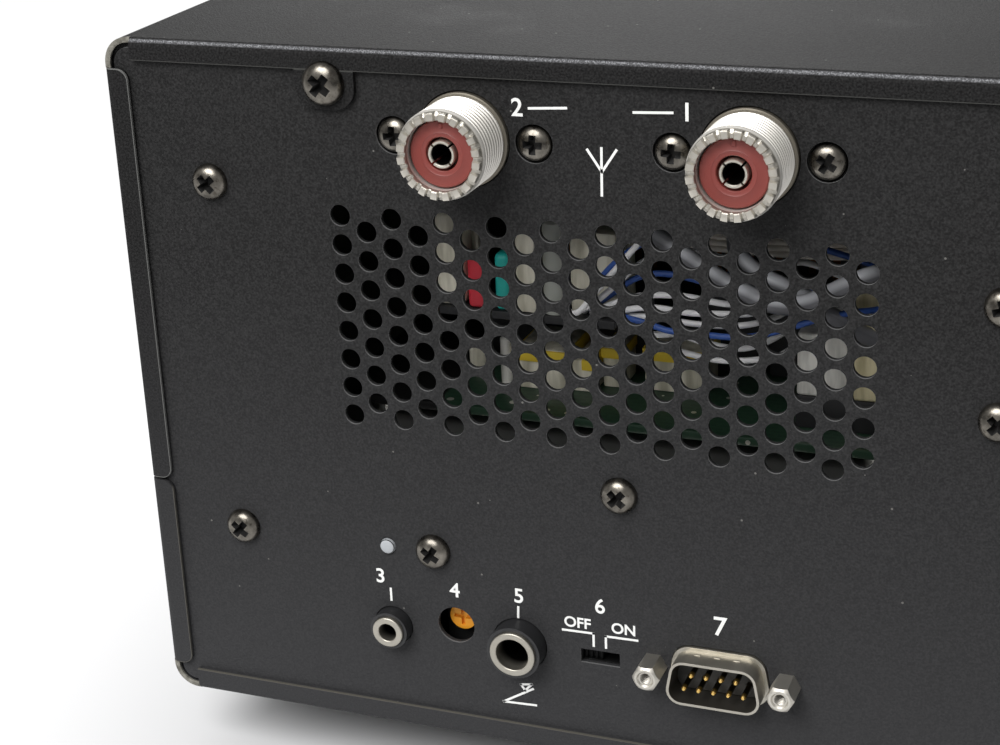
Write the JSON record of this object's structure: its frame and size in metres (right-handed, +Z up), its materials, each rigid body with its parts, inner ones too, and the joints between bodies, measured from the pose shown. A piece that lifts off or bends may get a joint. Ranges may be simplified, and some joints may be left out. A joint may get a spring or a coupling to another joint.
{
  "type": "hf transceiver",
  "caption": "Table-top HF radio transceiver: black folded case with punched rear panel, antenna sockets, jacks and data port, and a front of dials, keys and display.",
  "frame": {"origin": "on the table under the middle of the box around the whole part", "axes": "front faces -Y, rear panel faces +Y, +Z is up, +X is the right side seen from the front"},
  "size_m": [0.4136, 0.34, 0.149],
  "materials": {
    "case_paint": "satin black texture paint",
    "chassis_metal": "zinc plated sheet",
    "front_plastic": "moulded, fine texture",
    "window": "clear smoked plate",
    "display": "liquid crystal glass on its frame",
    "board": "green solder mask",
    "control_metal": "plated",
    "nickel": "nickel plate",
    "insulator": "red-brown moulding",
    "black_plastic": "black moulding",
    "gold": "gold flash",
    "zinc": "yellowish zinc plate",
    "orange_plastic": "orange moulding",
    "screw_metal": "dark nickel plate",
    "sink": "extruded",
    "wire": "white insulation",
    "speaker": "black frame, paper cone",
    "knob": "black with fine grip",
    "key": "dark grey keys",
    "rubber": "black rubber",
    "post": "plated brass",
    "stand": "steel wire"
  },
  "bodies": {
    "case": {"chassis": "chassis_metal", "rear_panel": "case_paint", "top_cover": "case_paint", "bottom_cover": "case_paint", "front_panel": "front_plastic", "display_window": "window", "display_module": "display", "control_board": "board", "control_pots": "control_metal", "main_board": "board", "amplifier_board": "board", "heat_sink": "sink", "tuner_board": "board", "wire_harness": "wire", "speaker": "speaker", "fan_frame": "black_plastic", "antenna_shells": "nickel", "antenna_insulators": "insulator", "antenna_contacts": "nickel", "signal_jacks": "black_plastic", "jack_sleeves": "nickel", "data_port_shell": "zinc", "data_port_insert": "black_plastic", "data_port_pins": "gold", "jackscrews": "zinc", "jack_board": "board", "power_socket": "black_plastic", "line_sockets": "nickel", "ground_post": "post", "microphone_socket": "control_metal", "feet": "rubber", "screws": "screw_metal"},
    "fan_rotor": {"fan_rotor": "black_plastic"},
    "backup_slider": {"backup_slider": "black_plastic"},
    "trimmer_rotor": {"trimmer_rotor": "orange_plastic"},
    "tilt_stand": {"tilt_stand": "stand"},
    "main_dial": {"main_dial": "knob"},
    "sub_dial": {"sub_dial": "knob"},
    "left_knob": {"left_knob": "knob"},
    "left_ring": {"left_ring": "knob"},
    "right_knob": {"right_knob": "knob"},
    "right_ring": {"right_ring": "knob"},
    "upper_knob": {"upper_knob": "knob"},
    "lower_knob": {"lower_knob": "knob"},
    "power_key": {"power_key": "key"},
    "number_key_0": {"number_key_0": "key"},
    "number_key_1": {"number_key_1": "key"},
    "number_key_2": {"number_key_2": "key"},
    "number_key_3": {"number_key_3": "key"},
    "number_key_4": {"number_key_4": "key"},
    "number_key_5": {"number_key_5": "key"},
    "number_key_6": {"number_key_6": "key"},
    "number_key_7": {"number_key_7": "key"},
    "number_key_8": {"number_key_8": "key"},
    "number_key_9": {"number_key_9": "key"},
    "mode_key_1": {"mode_key_1": "key"},
    "mode_key_2": {"mode_key_2": "key"},
    "mode_key_3": {"mode_key_3": "key"},
    "mode_key_4": {"mode_key_4": "key"},
    "mode_key_5": {"mode_key_5": "key"}
  },
  "joints": [
    {"name": "main_dial_turn", "type": "hinge", "parent": "case", "child": "main_dial", "pos_m": [0.015, -0.146, 0.06], "axis": [0, 1, 0], "continuous": true},
    {"name": "sub_dial_turn", "type": "hinge", "parent": "case", "child": "sub_dial", "pos_m": [0.122, -0.146, 0.066], "axis": [0, 1, 0], "continuous": true},
    {"name": "left_knob_turn", "type": "hinge", "parent": "case", "child": "left_knob", "pos_m": [-0.112, -0.146, 0.052], "axis": [0, 1, 0], "range_deg": [-150, 150]},
    {"name": "left_ring_turn", "type": "hinge", "parent": "case", "child": "left_ring", "pos_m": [-0.112, -0.146, 0.052], "axis": [0, 1, 0], "range_deg": [-150, 150]},
    {"name": "right_knob_turn", "type": "hinge", "parent": "case", "child": "right_knob", "pos_m": [-0.062, -0.146, 0.052], "axis": [0, 1, 0], "range_deg": [-150, 150]},
    {"name": "right_ring_turn", "type": "hinge", "parent": "case", "child": "right_ring", "pos_m": [-0.062, -0.146, 0.052], "axis": [0, 1, 0], "range_deg": [-150, 150]},
    {"name": "upper_knob_turn", "type": "hinge", "parent": "case", "child": "upper_knob", "pos_m": [0.178, -0.146, 0.084], "axis": [0, 1, 0], "range_deg": [-150, 150]},
    {"name": "lower_knob_turn", "type": "hinge", "parent": "case", "child": "lower_knob", "pos_m": [0.178, -0.146, 0.046], "axis": [0, 1, 0], "range_deg": [-150, 150]},
    {"name": "fan_rotor_turn", "type": "hinge", "parent": "case", "child": "fan_rotor", "pos_m": [0, 0.1408, 0.11075], "axis": [0, 1, 0], "continuous": true},
    {"name": "trimmer_rotor_turn", "type": "hinge", "parent": "case", "child": "trimmer_rotor", "pos_m": [0.1415, 0.1498, 0.0378], "axis": [0, 1, 0], "range_deg": [-135, 135]},
    {"name": "tilt_stand_turn", "type": "hinge", "parent": "case", "child": "tilt_stand", "pos_m": [0, -0.096, 0.009], "axis": [-1, 0, 0], "range_deg": [0, 100]},
    {"name": "backup_slider_slide", "type": "slide", "parent": "case", "child": "backup_slider", "axis": [-1, 0, 0], "range_m": [0, 0.0035]},
    {"name": "power_key_press", "type": "slide", "parent": "case", "child": "power_key", "axis": [0, 1, 0], "range_m": [0, 0.0008], "stiffness_N_per_m": 800, "springref_m": -0.0004},
    {"name": "number_key_0_press", "type": "slide", "parent": "case", "child": "number_key_0", "axis": [0, 1, 0], "range_m": [0, 0.0008], "stiffness_N_per_m": 800, "springref_m": -0.0004},
    {"name": "number_key_1_press", "type": "slide", "parent": "case", "child": "number_key_1", "axis": [0, 1, 0], "range_m": [0, 0.0008], "stiffness_N_per_m": 800, "springref_m": -0.0004},
    {"name": "number_key_2_press", "type": "slide", "parent": "case", "child": "number_key_2", "axis": [0, 1, 0], "range_m": [0, 0.0008], "stiffness_N_per_m": 800, "springref_m": -0.0004},
    {"name": "number_key_3_press", "type": "slide", "parent": "case", "child": "number_key_3", "axis": [0, 1, 0], "range_m": [0, 0.0008], "stiffness_N_per_m": 800, "springref_m": -0.0004},
    {"name": "number_key_4_press", "type": "slide", "parent": "case", "child": "number_key_4", "axis": [0, 1, 0], "range_m": [0, 0.0008], "stiffness_N_per_m": 800, "springref_m": -0.0004},
    {"name": "number_key_5_press", "type": "slide", "parent": "case", "child": "number_key_5", "axis": [0, 1, 0], "range_m": [0, 0.0008], "stiffness_N_per_m": 800, "springref_m": -0.0004},
    {"name": "number_key_6_press", "type": "slide", "parent": "case", "child": "number_key_6", "axis": [0, 1, 0], "range_m": [0, 0.0008], "stiffness_N_per_m": 800, "springref_m": -0.0004},
    {"name": "number_key_7_press", "type": "slide", "parent": "case", "child": "number_key_7", "axis": [0, 1, 0], "range_m": [0, 0.0008], "stiffness_N_per_m": 800, "springref_m": -0.0004},
    {"name": "number_key_8_press", "type": "slide", "parent": "case", "child": "number_key_8", "axis": [0, 1, 0], "range_m": [0, 0.0008], "stiffness_N_per_m": 800, "springref_m": -0.0004},
    {"name": "number_key_9_press", "type": "slide", "parent": "case", "child": "number_key_9", "axis": [0, 1, 0], "range_m": [0, 0.0008], "stiffness_N_per_m": 800, "springref_m": -0.0004},
    {"name": "mode_key_1_press", "type": "slide", "parent": "case", "child": "mode_key_1", "axis": [0, 1, 0], "range_m": [0, 0.0008], "stiffness_N_per_m": 800, "springref_m": -0.0004},
    {"name": "mode_key_2_press", "type": "slide", "parent": "case", "child": "mode_key_2", "axis": [0, 1, 0], "range_m": [0, 0.0008], "stiffness_N_per_m": 800, "springref_m": -0.0004},
    {"name": "mode_key_3_press", "type": "slide", "parent": "case", "child": "mode_key_3", "axis": [0, 1, 0], "range_m": [0, 0.0008], "stiffness_N_per_m": 800, "springref_m": -0.0004},
    {"name": "mode_key_4_press", "type": "slide", "parent": "case", "child": "mode_key_4", "axis": [0, 1, 0], "range_m": [0, 0.0008], "stiffness_N_per_m": 800, "springref_m": -0.0004},
    {"name": "mode_key_5_press", "type": "slide", "parent": "case", "child": "mode_key_5", "axis": [0, 1, 0], "range_m": [0, 0.0008], "stiffness_N_per_m": 800, "springref_m": -0.0004}
  ]
}
